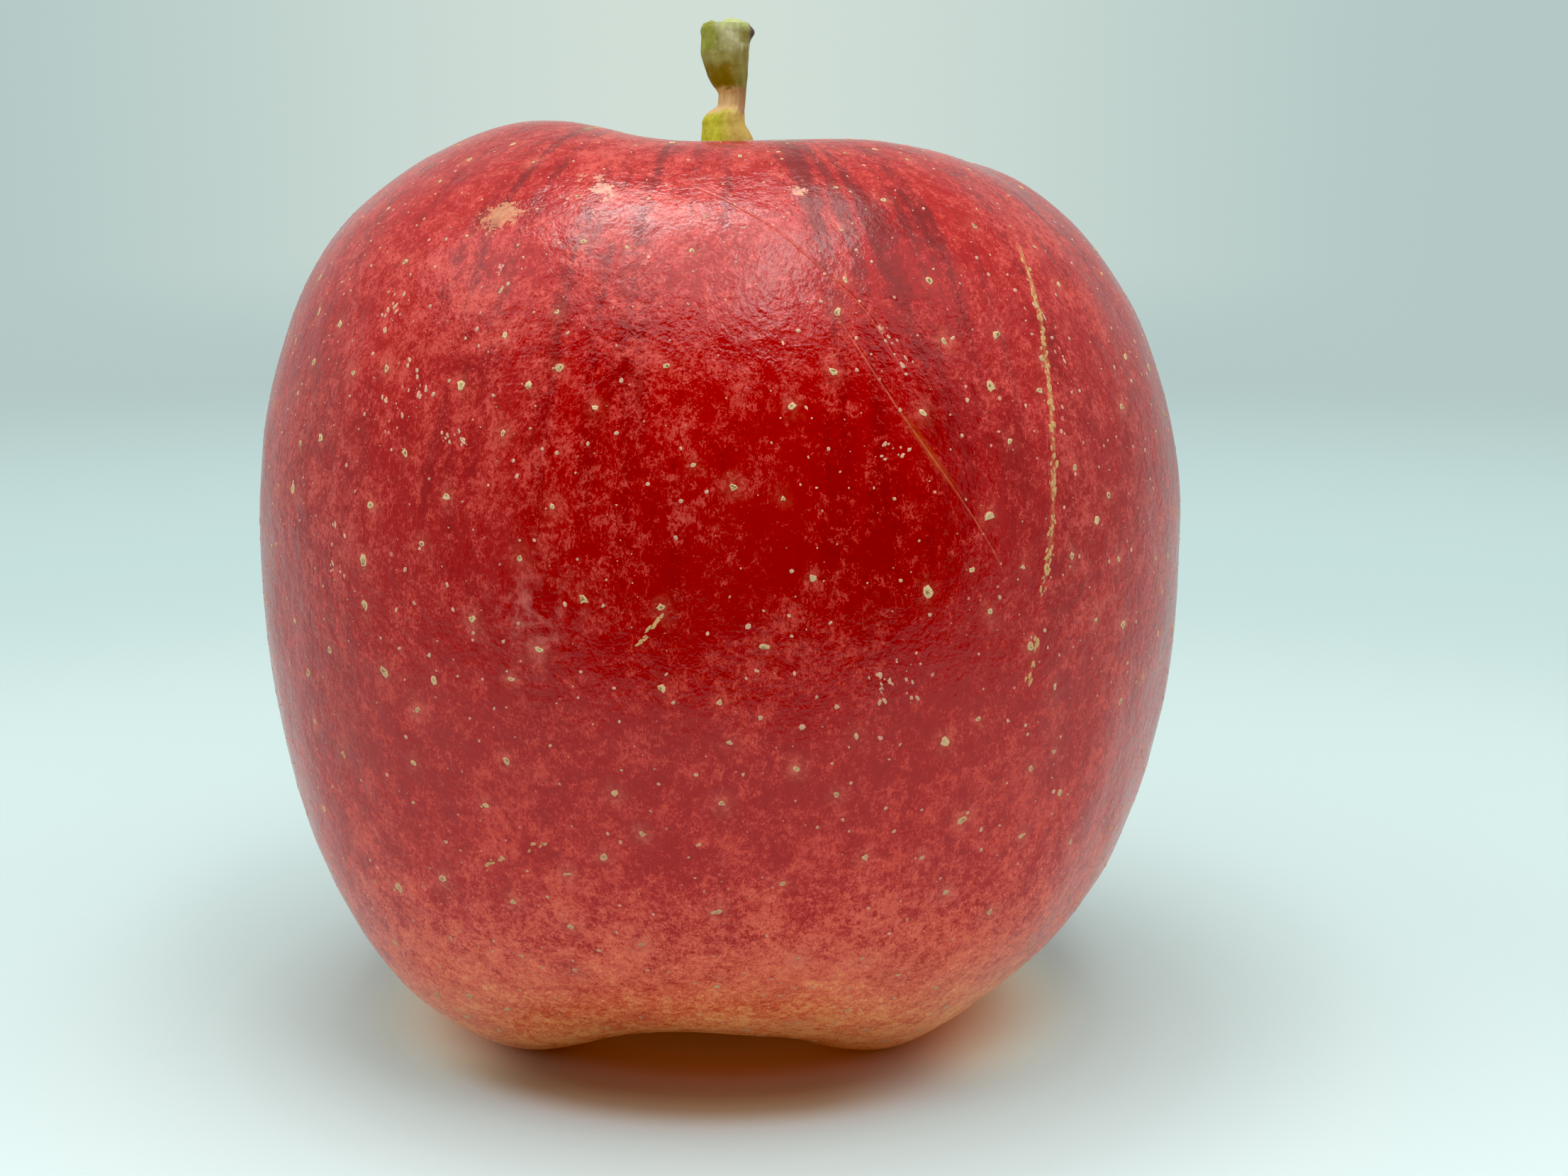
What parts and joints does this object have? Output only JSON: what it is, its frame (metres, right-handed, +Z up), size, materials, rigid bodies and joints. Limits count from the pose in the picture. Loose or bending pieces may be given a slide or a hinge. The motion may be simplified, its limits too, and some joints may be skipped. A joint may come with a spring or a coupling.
{
  "type": "apple",
  "caption": "Ripe red apple with ribbed shoulders, a deep stem cavity with its woody stem, and a lobed base with the dried calyx in its basin.",
  "frame": {"origin": "centre of the bounding box at the surface the fruit stands on", "axes": "+Z up along the core towards the stem, front of the fruit towards -Y, +X to the right in the front view"},
  "size_m": [0.0806, 0.0815, 0.0879],
  "materials": {
    "skin": "waxy fruit skin, deep red over yellow ground colour, pale lenticel dots, satin to semi-gloss",
    "stem": "dry woody and fleshy stem, green to tan, matt",
    "calyx": "dried papery sepals, brown, matt"
  },
  "bodies": {
    "root": {"fruit": "skin", "stem": "stem", "calyx": "calyx"}
  },
  "joints": []
}
